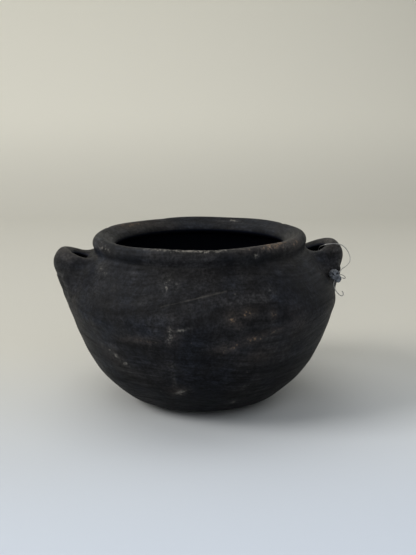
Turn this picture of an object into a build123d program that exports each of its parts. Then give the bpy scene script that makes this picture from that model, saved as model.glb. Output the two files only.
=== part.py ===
from build123d import *

import os
from math import atan2, cos, degrees, hypot, pi, radians, sin, tan

# A squat, two-eared clay cooking pot: a pressed lower bowl, a shoulder wall and a thick
# everted rim luted together on bevelled seams, two ears luted to the shoulder, and a loop
# of tie wire through the right ear that is closed by a pressed lead seal.
# Millimetres, +Z up, origin at the centre of the foot. The ears lie along X.

# Foot and lower bowl
foot_radius = 53.0
foot_slope = 23.0
heel_flare = 30.8
heel_height = 13.0
heel_slope = 41.0
flank_taper = 27.3
flank_height = 40.0
flank_slope = 57.0
wall = 8.0

# Belly and shoulder
belly_radius = 136.6
belly_height = 108.0
belly_round = 24.0
belly_lower_turn = 20.0
belly_upper_turn = 25.0
shoulder_run = 29.6
shoulder_rise = 48.0

# Everted rim
lip_height = 16.0
lip_lean = 4.9
lip_bulge = 4.2
rim_width = 16.2
rim_fall = 8.0
rim_dish = 0.8
nose_depth = 5.0
crest_round = 3.0
nose_round = 2.2

# Bevels of the luted seams, measured up the inside of the wall
belly_seam_bevel = 6.0
neck_seam_bevel = 5.0

# Ears: a leaning lug like half a cup, sunk in the shoulder, with a well and a cord hole
lug_inset = 17.5
lug_drop = 16.6
lug_tilt = 19.8
lug_radius = 30.5
lug_widest = 3.3
lug_flank = (22.4, -17.5)
lug_toe = (11.9, -34.8)
lug_depth = 46.0
skirt_top = (25.7, -8.0)
skirt_middle = (22.8, -28.0)
skirt_toe = (16.0, -43.0)
crown_radius = 24.0
crown_height = 12.8
well_radius = 12.5
well_depth = 11.8
funnel_depth = 7.0
cord_hole_radius = 6.0
cord_hole_lean = 22.0
cord_hole_start = 5.8

# Tie wire and its lead seal
wire_diameter = 0.8
seal_diameter = 10.0
seal_thickness = 6.5
seal_round = 1.6
seal_lobe_diameter = 6.4
seal_lobe_thickness = 5.0
seal_eye_diameter = 1.8
seal_eye_depth = 3.0
pellet_place = (-1.4, 0.8)
lobe_place = (3.4, -2.6)
eye_place = (-3.4, 2.0)
seal_face_turn = 9.5
seal_turn = -74
seal_drop = 11.0
seal_stand_off = 8.4
bore_gap = 0.05

# Worked-out places on the pot's section, as radius and height
heel = (foot_radius + heel_flare, heel_height)
flank = (belly_radius - flank_taper, flank_height)
neck = (belly_radius - shoulder_run, belly_height + shoulder_rise)
crest = (neck[0] - lip_lean, neck[1] + lip_height)
mouth = (crest[0] - rim_width, crest[1] - rim_fall)
belly_centre = (belly_radius - belly_round, belly_height)
shoulder_start_slope = 90 + belly_upper_turn
shoulder_start = (
    belly_centre[0] + belly_round * cos(radians(belly_upper_turn)),
    belly_centre[1] + belly_round * sin(radians(belly_upper_turn)),
)
shoulder_chord_slope = degrees(atan2(neck[1] - shoulder_start[1], neck[0] - shoulder_start[0]))
neck_slope = 2 * shoulder_chord_slope - shoulder_start_slope


def moved_in(point, slope, depth):
    """A point of the outer outline moved into the clay, square to a wall that rises at slope."""
    return (point[0] - depth * sin(radians(slope)), point[1] + depth * cos(radians(slope)))


def direction(slope):
    """The way a wall that rises at slope runs, as radius and height."""
    return (cos(radians(slope)), sin(radians(slope)))


def draw_wall(depth):
    """The line of the pot from foot to neck, depth inside its outer face. Returns its two ends."""
    foot_end = moved_in((foot_radius, 0), foot_slope, depth)
    lower_end = moved_in(
        (
            belly_centre[0] + belly_round * cos(radians(belly_lower_turn)),
            belly_centre[1] - belly_round * sin(radians(belly_lower_turn)),
        ),
        90 - belly_lower_turn,
        depth,
    )
    neck_end = moved_in(neck, neck_slope, depth)
    Spline(
        foot_end,
        moved_in(heel, heel_slope, depth),
        moved_in(flank, flank_slope, depth),
        lower_end,
        tangents=(direction(foot_slope), direction(90 - belly_lower_turn)),
    )
    CenterArc(
        belly_centre,
        belly_round - depth,
        -belly_lower_turn,
        belly_lower_turn + belly_upper_turn,
    )
    TangentArc(
        moved_in(shoulder_start, shoulder_start_slope, depth),
        neck_end,
        tangent=direction(shoulder_start_slope),
    )
    return foot_end, neck_end


# The whole pot in section, from which the three turned pieces are divided
with BuildSketch(Plane.XZ) as wall_section:
    with BuildLine():
        outer_foot, outer_neck = draw_wall(0)
        inner_foot, inner_neck = draw_wall(wall)
        Line((0, 0), outer_foot)
        SagittaArc(outer_neck, crest, -lip_bulge)
        SagittaArc(crest, mouth, rim_dish)
        Line(mouth, (mouth[0], mouth[1] - nose_depth))
        Line((mouth[0], mouth[1] - nose_depth), inner_neck)
        Line(inner_foot, (0, inner_foot[1]))
        Line((0, inner_foot[1]), (0, 0))
    make_face()

# Seam lines across the wall, drawn out past both faces
seam_margin = 3 * wall
belly_seam_run = (-wall, belly_seam_bevel)
neck_seam_run = (
    inner_neck[0] - outer_neck[0] + neck_seam_bevel * direction(neck_slope)[0],
    inner_neck[1] - outer_neck[1] + neck_seam_bevel * direction(neck_slope)[1],
)


def seam_ends(point, run):
    """Two points of the line through point along run, seam_margin past it on either side."""
    length = hypot(*run)
    step = (run[0] * seam_margin / length, run[1] * seam_margin / length)
    return (
        (point[0] - step[0], point[1] - step[1]),
        (point[0] + step[0], point[1] + step[1]),
    )


belly_seam = seam_ends((belly_radius, belly_height), belly_seam_run)
neck_seam = seam_ends(neck, neck_seam_run)
far_out = belly_radius + seam_margin
far_up = crest[1] + seam_margin

# Lower bowl: pressed over a form, from the flat foot up to the widest line
with BuildPart() as lower_bowl:
    with BuildSketch(Plane.XZ):
        add(wall_section.sketch_local)
        with BuildLine():
            Polyline(
                (0, -seam_margin),
                (far_out, -seam_margin),
                (far_out, belly_seam[0][1]),
                belly_seam[0],
                belly_seam[1],
                (0, belly_seam[1][1]),
                close=True,
            )
        make_face(mode=Mode.INTERSECT)
    revolve(axis=Axis.Z)
lower_bowl.part.label = "lower_bowl"

# Shoulder wall: the ring of clay between the two seams
with BuildPart() as shoulder_wall:
    with BuildSketch(Plane.XZ):
        add(wall_section.sketch_local)
        with BuildLine():
            Polyline(
                belly_seam[1],
                belly_seam[0],
                (far_out, belly_seam[0][1]),
                (far_out, neck_seam[0][1]),
                neck_seam[0],
                neck_seam[1],
                close=True,
            )
        make_face(mode=Mode.INTERSECT)
    revolve(axis=Axis.Z)
shoulder_wall.part.label = "shoulder_wall"

# Rim collar: a thick coil turned out and dished inwards to the mouth
with BuildPart() as rim_collar:
    with BuildSketch(Plane.XZ):
        add(wall_section.sketch_local)
        with BuildLine():
            Polyline(
                neck_seam[1],
                neck_seam[0],
                (far_out, neck_seam[0][1]),
                (far_out, far_up),
                (0, far_up),
                (0, neck_seam[1][1]),
                close=True,
            )
        make_face(mode=Mode.INTERSECT)
    revolve(axis=Axis.Z)
    rings = rim_collar.edges().filter_by(GeomType.CIRCLE).filter_by(lambda edge: edge.is_closed)
    nose_rings = rings.sort_by(SortBy.RADIUS)[:2]
    crest_ring = rings.sort_by(Axis.Z)[-1]
    fillet(nose_rings, radius=nose_round)
    fillet(crest_ring, radius=crest_round)
rim_collar.part.label = "rim_collar"

# The pot's outside as one filled shape: what the ears are pressed against
with BuildPart() as pot_shape:
    with BuildSketch(Plane.XZ):
        with BuildLine():
            draw_wall(0)
            Polyline(outer_neck, (0, outer_neck[1]), (0, 0), outer_foot)
        make_face()
    revolve(axis=Axis.Z)

# Ear: a cup turned about its own leaning axis and an upright skirt under it, which spreads the
# ear's foot on the belly; the pot's wall hides the inner half of both
lug_across = Vector(cos(radians(lug_tilt)), 0, sin(radians(lug_tilt)))
lug_up = Vector(-sin(radians(lug_tilt)), 0, cos(radians(lug_tilt)))
lug_centre = Vector(belly_radius - lug_inset, 0, neck[1] - lug_drop)
lug_section = Plane(origin=lug_centre, x_dir=lug_across, z_dir=(0, -1, 0))
crown = (crown_radius, crown_height)
well_top = (well_radius, crown_height - funnel_depth)
well_floor = crown_height - well_depth


def on_lug(turn, radius, height):
    """A point round the lug's axis: turn degrees from its outer side, and height along it."""
    outward = lug_across * (radius * cos(radians(turn)))
    return lug_centre + outward + Vector(0, radius * sin(radians(turn)), 0) + lug_up * height


cord_hole_way = on_lug(0, sin(radians(cord_hole_lean)), -cos(radians(cord_hole_lean))) - lug_centre
cord_hole = Plane(origin=on_lug(0, cord_hole_start, well_floor), z_dir=cord_hole_way)

with BuildPart() as right_ear:
    with BuildSketch(lug_section):
        with BuildLine():
            Spline(
                (0, -lug_depth),
                lug_toe,
                lug_flank,
                (lug_radius, lug_widest),
                crown,
                tangents=((1, 0), (-1, 0)),
            )
            Spline(crown, well_top, tangents=((-1, 0), (0, -1)))
            Polyline(well_top, (well_radius, well_floor), (0, well_floor), (0, -lug_depth))
        make_face()
    revolve(axis=Axis(lug_centre, lug_up))
    with BuildSketch(Plane(origin=lug_centre, x_dir=(1, 0, 0), z_dir=(0, -1, 0))):
        with BuildLine():
            Spline(skirt_toe, skirt_middle, skirt_top)
            Polyline(skirt_top, (0, skirt_top[1]), (0, skirt_toe[1]), skirt_toe)
        make_face()
    revolve(axis=Axis(lug_centre, (0, 0, 1)))
    with Locations(cord_hole):
        Cylinder(cord_hole_radius, 2 * lug_depth, mode=Mode.SUBTRACT)
    add(pot_shape.part, mode=Mode.SUBTRACT)
right_ear.part.label = "right_ear"

with BuildPart() as left_ear:
    add(right_ear.part)
    mirror(about=Plane.YZ, mode=Mode.REPLACE)
left_ear.part.label = "left_ear"

# Tie wire: up the ear's cord hole, over its crown, into the seal, and on as a curled tail
wire_radius = wire_diameter / 2
seal_centre = on_lug(seal_turn, lug_radius + seal_stand_off, -seal_drop)
seal_right = Vector(cos(radians(seal_face_turn)), -sin(radians(seal_face_turn)), 0)
seal_front = Vector(-sin(radians(seal_face_turn)), -cos(radians(seal_face_turn)), 0)
seal_up = Vector(0, 0, 1)


def on_seal(right, up, front):
    """A point given from the middle of the seal's face."""
    return seal_centre + seal_right * right + seal_up * up + seal_front * front


wire_route = [
    on_seal(1.4, -1.4, -0.4),
    on_seal(2.0, -1.8, -6.0),
    on_lug(-62, lug_radius - 3.0, -17.0),
    on_lug(-44, lug_radius - 5.5, -22.5),
    on_lug(-24, lug_radius - 7.0, -27.5),
    on_lug(-6, lug_radius - 8.5, -30.5),
    on_lug(-2, lug_radius - 12.2, -27.5),
    on_lug(-2, well_radius + 1.5, -18.5),
    on_lug(-3, well_radius - 2.5, -9.0),
    on_lug(-6, well_radius - 6.0, 0.5),
    on_lug(-30, well_radius - 6.0, 7.5),
    on_lug(-54, well_radius - 1.0, crown_height - 0.3),
    on_lug(-58, well_radius + 5.0, crown_height + 1.2),
    on_lug(-54, crown_radius, crown_height + 1.85),
    on_lug(-42, lug_radius - 0.45, crown_height - 0.8),
    on_lug(-28, lug_radius + 1.95, lug_widest + 3.95),
    on_lug(-17, lug_radius + 3.6, lug_widest - 1.3),
    on_lug(-20, lug_radius + 7.0, -4.5),
    on_lug(-34, lug_radius + 8.4, -10.0),
    on_lug(-50, lug_radius + 8.0, -12.0),
    on_seal(4.9, 6.4, 0.9),
    on_seal(-1.3, -5.4, 0.9),
    on_seal(-2.0, -10.0, 3.2),
    on_seal(0.6, -15.0, 4.2),
    on_seal(4.0, -19.2, 3.6),
    on_seal(7.6, -20.6, 3.0),
    on_seal(8.6, -17.6, 2.8),
    on_seal(6.9, -15.4, 2.8),
]


def bend_radii(points):
    """The widest bend that each corner of a route has room for."""
    radii = []
    for before, corner, after in zip(points, points[1:], points[2:]):
        shorter_run = min((corner - before).length, (after - corner).length)
        turn = (corner - before).get_angle(after - corner)
        radii.append(0.45 * shorter_run / tan(radians(turn / 2)))
    return radii


wire_bends = bend_radii(wire_route)

with BuildPart() as tie_wire:
    with BuildLine():
        wire_path = FilletPolyline(*wire_route, radius=wire_bends)
    wire_start = Plane(origin=wire_path @ 0, z_dir=wire_path % 0)
    with BuildSketch(wire_start):
        Circle(wire_radius)
    sweep(path=wire_path)
tie_wire.part.label = "tie_wire"

# The room that the pressed lead leaves round the wire
with BuildPart() as wire_bore:
    with BuildSketch(wire_start):
        Circle(wire_radius + bore_gap)
    sweep(path=wire_path)


def pressed_pellet(diameter, thickness):
    """A soft lead disc with rounded edges, lying on the XY plane's middle."""
    with BuildPart() as pellet:
        Cylinder(diameter / 2, thickness)
        fillet(pellet.edges().filter_by(GeomType.CIRCLE), radius=seal_round)
    return pellet.part


# Lead seal: two soft lead pellets pressed together on the wire, with one spare eye
with BuildPart(Plane(origin=seal_centre, x_dir=seal_right, z_dir=seal_front)) as seal_blank:
    with Locations(pellet_place):
        add(pressed_pellet(seal_diameter, seal_thickness))
    with Locations(lobe_place):
        add(pressed_pellet(seal_lobe_diameter, seal_lobe_thickness))
    with Locations((*eye_place, seal_thickness / 2)):
        Hole(seal_eye_diameter / 2, depth=seal_eye_depth)

with BuildPart() as lead_seal:
    add(seal_blank.part)
    add(wire_bore.part, mode=Mode.SUBTRACT)
lead_seal.part.label = "lead_seal"

pieces = [lower_bowl, shoulder_wall, rim_collar, left_ear, right_ear, tie_wire, lead_seal]
os.makedirs("parts", exist_ok=True)
for piece in pieces:
    export_step(piece.part, f"parts/{piece.part.label}.step")

tube_volume = pi * wire_radius**2 * wire_path.length
print("wire length", round(wire_path.length, 1), "bends", [round(bend, 1) for bend in wire_bends])
print("wire volume", round(tie_wire.part.volume, 2), "and as a straight tube", round(tube_volume, 2))
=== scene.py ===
import bpy
import numpy as np
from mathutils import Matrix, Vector


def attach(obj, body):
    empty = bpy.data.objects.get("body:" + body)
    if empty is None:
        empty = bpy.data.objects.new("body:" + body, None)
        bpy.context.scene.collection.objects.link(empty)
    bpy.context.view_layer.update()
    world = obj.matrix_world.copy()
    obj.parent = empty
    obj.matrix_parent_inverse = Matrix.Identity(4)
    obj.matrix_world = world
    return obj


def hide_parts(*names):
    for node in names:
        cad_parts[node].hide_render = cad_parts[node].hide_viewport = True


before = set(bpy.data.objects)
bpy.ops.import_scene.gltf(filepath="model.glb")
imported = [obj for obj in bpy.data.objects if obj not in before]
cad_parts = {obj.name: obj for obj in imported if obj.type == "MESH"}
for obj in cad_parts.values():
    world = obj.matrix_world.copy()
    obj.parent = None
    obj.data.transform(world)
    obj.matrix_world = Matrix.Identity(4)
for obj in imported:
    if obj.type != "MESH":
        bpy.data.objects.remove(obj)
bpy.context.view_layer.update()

# Lower bowl: the bottom half of the pot, low-fired clay pressed over a form and smoked black.
# It stands on a flat foot, swells in one long curve to the belly, and is scraped and burnished
# by hand, so its wall is never quite round. The shoulder is luted to its bevelled top edge.
foot = (0.0530, 0.0)
heel = (0.0838, 0.0130)
flank = (0.1093, 0.0400)
belly_radius, belly_height, belly_round = 0.1366, 0.1080, 0.0240
foot_slope, heel_slope, flank_slope = 23, 41, 57
belly_lower_turn, belly_upper_turn = 20, 25
wall = 0.008
belly_seam_bevel = 0.006
foot_hollow = 0.0008
stroke_wander, stroke_tremble = 0.0090, 0.0030
columns, wall_step = 480, 0.0018
underside_rows, floor_rows, seam_rows = 16, 14, 5
sharp_turn = np.radians(50)
photo_turn = np.radians(9.5)


def run(start, start_slope, end, end_slope, step=wall_step):
    """A smooth run of section points, radius and height, from start to end. It is a cubic whose
    two handles point along the slopes, in degrees, as long as those of a round arc would be."""
    start, end = np.array(start, float), np.array(end, float)
    chord = np.linalg.norm(end - start)
    turn = np.radians(end_slope - start_slope)
    handle = chord / (3 * np.cos(turn / 4) ** 2)
    ways = np.radians([start_slope, end_slope])
    leave = start + handle * np.array([np.cos(ways[0]), np.sin(ways[0])])
    arrive = end - handle * np.array([np.cos(ways[1]), np.sin(ways[1])])
    t = np.linspace(0, 1, max(3, int(np.ceil(chord / step)) + 1))[:, None]
    return (
        (1 - t) ** 3 * start
        + 3 * t * (1 - t) ** 2 * leave
        + 3 * t**2 * (1 - t) * arrive
        + t**3 * end
    )


def joined(*runs):
    """Runs end to end as one line of points, each shared end kept once."""
    return np.concatenate([runs[0]] + [r[1:] for r in runs[1:]])


def drawn_through(stations):
    """Runs through a row of stations, each a point and the slope that the line has there."""
    return joined(*(run(*here, *there) for here, there in zip(stations, stations[1:])))


def moved_in(line, depth):
    """A section line moved sideways into the clay by depth, square to itself at every point."""
    way = np.gradient(line, axis=0)
    way /= np.linalg.norm(way, axis=1, keepdims=True)
    return line + depth * np.stack([-way[:, 1], way[:, 0]], axis=1)


def on_belly(turn):
    """The point of the belly's round, turn degrees above its widest line."""
    return (
        belly_radius - belly_round + belly_round * np.cos(np.radians(turn)),
        belly_height + belly_round * np.sin(np.radians(turn)),
    )


def smooth_share(value, low, high):
    """0 below low, 1 above high, and an S-shaped cubic between them."""
    t = np.clip((value - low) / (high - low), 0, 1)
    return t * t * (3 - 2 * t)


def from_camera(right, away, height):
    """A place given from the pot's axis as the camera sees it: to the right, away and up."""
    return (
        right * np.cos(photo_turn) + away * np.sin(photo_turn),
        away * np.cos(photo_turn) - right * np.sin(photo_turn),
        height,
    )


# How the hands pressed the pot out of true: swells of the wall, which fade in by radius, a lower
# wall that is fuller on the right, an oval rim with a wavy crest, and a lean from the belly up.
swell_depths, swell_radii = (0.00030, 0.00022, 0.00012, 0.00010), (0.02, 0.07)
low_fullness, low_fullness_right, low_heights = 0.0005, 0.0004, (0.078, 0.104)
rim_oval, oval_heights = 0.0111, (0.150, 0.164)
crest_wave, crest_heights = 0.00035, (0.158, 0.170)
slide_left, rise_right, rise_back, lean_heights = 0.0022, 0.0118, 0.0077, (0.105, 0.165)


def hand_worked(points):
    """Bends space as the potter's hands bent the clay. The wall swells in and out by sums of
    sines of angle and height, and is fuller low down. From the belly up it leans: it slides to
    the left as the photo sees it and rises to the right and the back. The rim is pressed to a
    slight oval. Every clay piece goes through it, so they keep fitting."""
    x, y, z = points[..., 0], points[..., 1], points[..., 2]
    angle = np.arctan2(y, x) + photo_turn
    radius = np.hypot(x, y)
    swell = swell_depths[0] * np.cos(3 * angle - 1.1 + 14 * z)
    swell = swell + swell_depths[1] * np.sin(5 * angle + z * 40)
    swell += swell_depths[2] * np.sin(z * 310 + 2.3 * np.sin(2 * angle + 0.4))
    swell += swell_depths[3] * np.sin(11 * angle - 95 * z) * np.sin(4 * angle + 130 * z)
    fullness = low_fullness + low_fullness_right * np.cos(angle)
    swell += fullness * (1 - smooth_share(z, *low_heights))
    radius = radius + smooth_share(radius, *swell_radii) * swell
    radius = radius * (1 - rim_oval * smooth_share(z, *oval_heights) * np.cos(2 * angle))
    lean = smooth_share(z, *lean_heights)
    right, away = radius * np.cos(angle), radius * np.sin(angle)
    wave = smooth_share(z, *crest_heights) * crest_wave * np.sin(7 * angle + 2.1)
    raised = z + lean * (rise_right * right + rise_back * away) + wave
    return np.stack(from_camera(right - slide_left * lean, away, raised), axis=-1)


def turned(line):
    """A section line carried round the axis: rows are its points, columns the angle round."""
    angle = np.linspace(0, 2 * np.pi, columns, endpoint=False)
    radius, height = line[:, :1], line[:, 1:]
    return np.stack(
        [radius * np.cos(angle), radius * np.sin(angle), height + 0 * angle], axis=-1
    )


def strokes_round(line, sway=1.0):
    """The way the burnishing strokes lie on a turned piece: slow round the pot and quick up its
    wall, as a place on a belly-wide circle and a distance along the section. Sines of the angle
    make the strokes wander up and down, as a hand does, by more or less sway."""
    steps = np.linalg.norm(np.diff(line, axis=0), axis=1)
    along = np.concatenate([[0], np.cumsum(steps)])[:, None]
    angle = np.linspace(0, 2 * np.pi, columns, endpoint=False)
    wander = stroke_wander * np.sin(2 * angle + 25 * along)
    wander = wander + stroke_tremble * np.sin(5 * angle - 38 * along + 1)
    return np.stack(
        [
            belly_radius * np.cos(angle) + 0 * along,
            belly_radius * np.sin(angle) + 0 * along,
            along + sway * wander,
        ],
        axis=-1,
    )


def ring_quads(rows, wide, close_rows):
    """Quads of a grid that closes on itself across its columns, and down its rows if asked."""
    row = np.arange(rows if close_rows else rows - 1)[:, None]
    col = np.arange(wide)
    below, above = row * wide, ((row + 1) % rows) * wide
    nxt = (col + 1) % wide
    return np.stack([below + col, below + nxt, above + nxt, above + col], axis=-1).reshape(-1, 4)


def end_fans(rows, wide):
    """Fans that close the first and last rows of a grid onto two pole points kept after it."""
    col = np.arange(wide)
    nxt = (col + 1) % wide
    pole, last = np.full(wide, rows * wide), (rows - 1) * wide
    first_fan = np.stack([pole, nxt, col], axis=-1)
    last_fan = np.stack([pole + 1, last + col, last + nxt], axis=-1)
    return np.concatenate([first_fan, last_fan])


def mesh_of(name, points, quads, triangles):
    """A smooth mesh from arrays, with its faces turned outwards by the sign of the volume that
    they enclose."""
    triangles = np.asarray(triangles, int).reshape(-1, 3)
    corners = np.concatenate([quads[:, [0, 1, 2]], quads[:, [0, 2, 3]], triangles])
    about = points - points.mean(axis=0)
    a, b, c = (about[corners[:, k]] for k in range(3))
    if np.einsum("ij,ij->", a, np.cross(b, c)) < 0:
        quads, triangles = quads[:, ::-1], triangles[:, ::-1]
    mesh = bpy.data.meshes.new(name)
    mesh.vertices.add(len(points))
    mesh.vertices.foreach_set("co", points.ravel())
    mesh.loops.add(quads.size + triangles.size)
    mesh.loops.foreach_set("vertex_index", np.concatenate([quads.ravel(), triangles.ravel()]))
    mesh.polygons.add(len(quads) + len(triangles))
    starts = np.concatenate(
        [np.arange(len(quads)) * 4, quads.size + np.arange(len(triangles)) * 3]
    )
    mesh.polygons.foreach_set("loop_start", starts)
    mesh.update(calc_edges=True)
    mesh.shade_smooth()
    return mesh


def in_scene(name, data):
    """A new object with this mesh, lamp or camera, linked to the scene."""
    made = bpy.data.objects.new(name, data)
    bpy.context.scene.collection.objects.link(made)
    return made


def clay_piece(name, points, strokes, quads, triangles, marks_and_painted_light, node_name):
    """A piece of the pot that stands for a node, with its stroke and wear attributes, which also
    carry the painted highlights and painted shade.
    """
    mesh = mesh_of(name, points, quads, triangles)
    mesh.set_sharp_from_angle(angle=sharp_turn)
    stroke_places = mesh.attributes.new("strokes", "FLOAT_VECTOR", "POINT")
    stroke_places.data.foreach_set("vector", strokes.ravel())
    for layer_name, values in marks_and_painted_light.items():
        values = np.broadcast_to(values, len(points)).astype(float)
        mesh.attributes.new(layer_name, "FLOAT", "POINT").data.foreach_set("value", values)
    piece = in_scene(name, mesh)
    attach(piece, "pot")
    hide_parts(node_name)
    return piece


# Wear on the wall, each as angle round the pot and height, in degrees and millimetres, half
# length and half width in millimetres, slant in degrees, and strength.
pale_scuffs = [
    (-114.2, 142.0, 6.0, 7.0, 0, 0.55),
    (-110.0, 141.0, 3.5, 4.0, 0, 0.45),
    (-68.6, 135.0, 4.0, 6.0, 70, 0.5),
    (-111.0, 101.0, 3.0, 10.0, -10, 0.75),
    (-107.0, 105.5, 9.0, 1.8, 12, 0.7),
    (-112.0, 69.0, 4.0, 3.0, 0, 0.7),
    (-111.6, 54.0, 1.8, 12.0, 0, 0.6),
    (-109.5, 38.0, 8.0, 3.2, 35, 0.85),
    (-140.0, 72.0, 16.0, 3.0, -35, 0.6),
    (-134.5, 64.0, 10.0, 2.4, -30, 0.6),
    (-145.0, 77.0, 6.0, 3.0, -40, 0.5),
    (-157.5, 42.0, 3.0, 12.0, 0, 0.6),
    (-80.2, 22.0, 2.6, 2.6, 0, 0.9),
    (-78.6, 42.0, 5.0, 2.4, 10, 0.45),
    (-155.0, 147.5, 12.0, 3.0, -8, 0.5),
    (-149.5, 145.0, 5.0, 2.0, -15, 0.5),
    (-148.0, 98.0, 3.0, 8.0, 0, 0.5),
]
rubbed_patches = [
    (-87.5, 115.0, 5.0, 6.0, 0, 0.9),
    (-81.0, 119.0, 7.0, 4.0, 10, 0.85),
    (-85.0, 108.5, 4.0, 4.0, 0, 0.8),
    (-70.5, 115.0, 3.0, 5.0, 0, 0.95),
    (-88.0, 88.0, 16.0, 5.0, 10, 0.75),
    (-78.0, 95.0, 18.0, 5.0, 12, 0.8),
    (-69.0, 99.5, 12.0, 4.0, 12, 0.75),
    (-124.0, 92.5, 22.0, 4.0, 3, 0.6),
    (-110.0, 98.0, 7.0, 9.0, 0, 0.6),
    (-110.5, 40.0, 9.0, 6.0, 20, 0.6),
    (-72.0, 78.0, 26.0, 9.0, 5, 0.45),
    (-60.0, 105.0, 20.0, 14.0, 0, 0.4),
    (-142.0, 70.0, 18.0, 10.0, -30, 0.30),
    (35.0, 95.0, 30.0, 9.0, 6, 0.7),
    (80.0, 118.0, 14.0, 9.0, -8, 0.7),
    (118.0, 84.0, 28.0, 7.0, 4, 0.6),
    (95.0, 60.0, 12.0, 8.0, 25, 0.6),
]
millimetres = 1000


def wear_at(points, marks):
    """How strongly the marks show at each point: the strongest bell curve there, where a mark
    falls off with the distance along and across its slanted length."""
    angle, height, length, width, slant, strength = np.array(marks, float).T[:, :, None]
    flat = points.reshape(-1, 3)
    around = np.degrees(np.arctan2(flat[:, 1], flat[:, 0])) - angle
    around = (around + 180) % 360 - 180
    along = np.radians(around) * np.hypot(flat[:, 0], flat[:, 1]) * millimetres
    up = flat[:, 2] * millimetres - height
    lean = np.radians(slant)
    u = along * np.cos(lean) + up * np.sin(lean)
    v = up * np.cos(lean) - along * np.sin(lean)
    bells = strength * np.exp(-((u / length) ** 2) - (v / width) ** 2)
    return bells.max(axis=0).reshape(points.shape[:-1])


# The long scratch on the shoulder: its middle and half length in degrees round the pot, then the
# height of its middle, its rise to one end and its droop at both, in millimetres.
scratch_middle, scratch_half = -101.7, 13.7
scratch_height, scratch_rise, scratch_droop = 131.7, 6.6, 0.7
out_of_reach = 99


def off_scratch(points):
    """Height above the long scratch on the shoulder, in millimetres. The scratch rises in a
    flat curve of the angle, and beyond its two ends the value is out of reach."""
    angle = np.degrees(np.arctan2(points[..., 1], points[..., 0]))
    along = (angle - scratch_middle) / scratch_half
    scratch = scratch_height + scratch_rise * along - scratch_droop * along**2
    return np.where(np.abs(along) < 1, points[..., 2] * millimetres - scratch, out_of_reach)


def wall_wear(grid, outside):
    """The wear attributes of a wall's grid, where only its rows outside are marked."""
    outside = outside[:, None]
    return {
        "scuffed_and_highlights": wear_at(grid, pale_scuffs) * outside,
        "rubbed": wear_at(grid, rubbed_patches) * outside,
        "scratch": np.where(outside, off_scratch(grid), out_of_reach),
        "soot_and_well_shade": 1 - outside + 0 * grid[..., 0],
    }


outer_lower = drawn_through(
    [
        (foot, foot_slope),
        (heel, heel_slope),
        (flank, flank_slope),
        (on_belly(-belly_lower_turn), 90 - belly_lower_turn),
        (on_belly(0), 90),
    ]
)
seam_inside = np.array([belly_radius - wall, belly_height + belly_seam_bevel])
inner_lower = moved_in(outer_lower, wall)
inner_lower[-1] = seam_inside
underside = np.stack([np.linspace(0, foot[0], underside_rows), np.zeros(underside_rows)], axis=1)
underside[:, 1] = foot_hollow * (1 - (underside[:, 0] / foot[0]) ** 2)
floor_radii = np.linspace(inner_lower[0, 0], 0, floor_rows)
pot_floor = np.stack([floor_radii, 0 * floor_radii + inner_lower[0, 1]], axis=1)
bowl_line = joined(
    underside,
    outer_lower,
    np.linspace(outer_lower[-1], seam_inside, seam_rows),
    inner_lower[::-2],
    pot_floor,
)
belly_row = len(underside) + len(outer_lower) - 2
bowl_grid = hand_worked(turned(bowl_line))
bowl_strokes = strokes_round(bowl_line)
bowl_wear = wall_wear(bowl_grid, np.arange(len(bowl_line)) <= belly_row)


def with_poles(grid):
    """Values of the bowl's grid in the order of its points, with one value for each pole."""
    return np.concatenate([grid[1:-1].reshape(-1, *grid.shape[2:]), grid[[0, -1], 0]])


lower_bowl = clay_piece(
    "lower_bowl_clay",
    with_poles(bowl_grid),
    with_poles(bowl_strokes),
    ring_quads(len(bowl_line) - 2, columns, False),
    end_fans(len(bowl_line) - 2, columns),
    {name: with_poles(value) for name, value in bowl_wear.items()},
    "lower_bowl",
)


def node(tree, kind, inputs=None, **settings):
    """One shader node with its settings, and its inputs set to values or linked to sockets."""
    made = tree.nodes.new(kind)
    for name, value in settings.items():
        setattr(made, name, value)
    for key, value in (inputs or {}).items():
        if isinstance(value, bpy.types.NodeSocket):
            tree.links.new(value, made.inputs[key])
        else:
            made.inputs[key].default_value = value
    return made


def bare_finish(name):
    """A material with nothing in its node tree yet but its Object coordinates."""
    material = bpy.data.materials.new(name)
    material.use_nodes = True
    material.node_tree.nodes.clear()
    place = node(material.node_tree, "ShaderNodeTexCoord").outputs["Object"]
    return material, material.node_tree, place


def shaded(tree, inputs):
    """The surface of a finish: one Principled shader with its inputs, and the output."""
    shader = node(tree, "ShaderNodeBsdfPrincipled", inputs)
    node(tree, "ShaderNodeOutputMaterial", {"Surface": shader.outputs[0]})


# The next six add their nodes to the tree that their first socket is in, its id_data.
def blended(share, first, second):
    """Colour that goes from first to second as share goes from 0 to 1."""
    inputs = {0: share, 6: first, 7: second}
    return node(share.id_data, "ShaderNodeMix", inputs, data_type="RGBA").outputs[2]


def between(value, low, high, start=0.0, end=1.0):
    """A value spread from the range low to high onto start to end, kept inside it."""
    inputs = {"Value": value, 1: low, 2: high, 3: start, 4: end}
    spread = node(value.id_data, "ShaderNodeMapRange", inputs, interpolation_type="SMOOTHSTEP")
    return spread.outputs[0]


def sum_of(first, second, how="ADD"):
    """Two values added, or joined by another sum that Blender names."""
    inputs = {0: first, 1: second}
    return node(first.id_data, "ShaderNodeMath", inputs, operation=how).outputs[0]


def times(first, second):
    """Two values multiplied."""
    return sum_of(first, second, "MULTIPLY")


def cloud(vector, scale, detail=4.0, roughness=0.6, stretch=(1, 1, 1)):
    """Fractal noise, drawn out along the axes that stretch makes small."""
    inputs = {"Vector": vector, "Scale": stretch}
    drawn = node(vector.id_data, "ShaderNodeMapping", inputs).outputs[0]
    inputs = {"Vector": drawn, "Scale": scale, "Detail": detail, "Roughness": roughness}
    return node(vector.id_data, "ShaderNodeTexNoise", inputs).outputs["Fac"]


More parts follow.
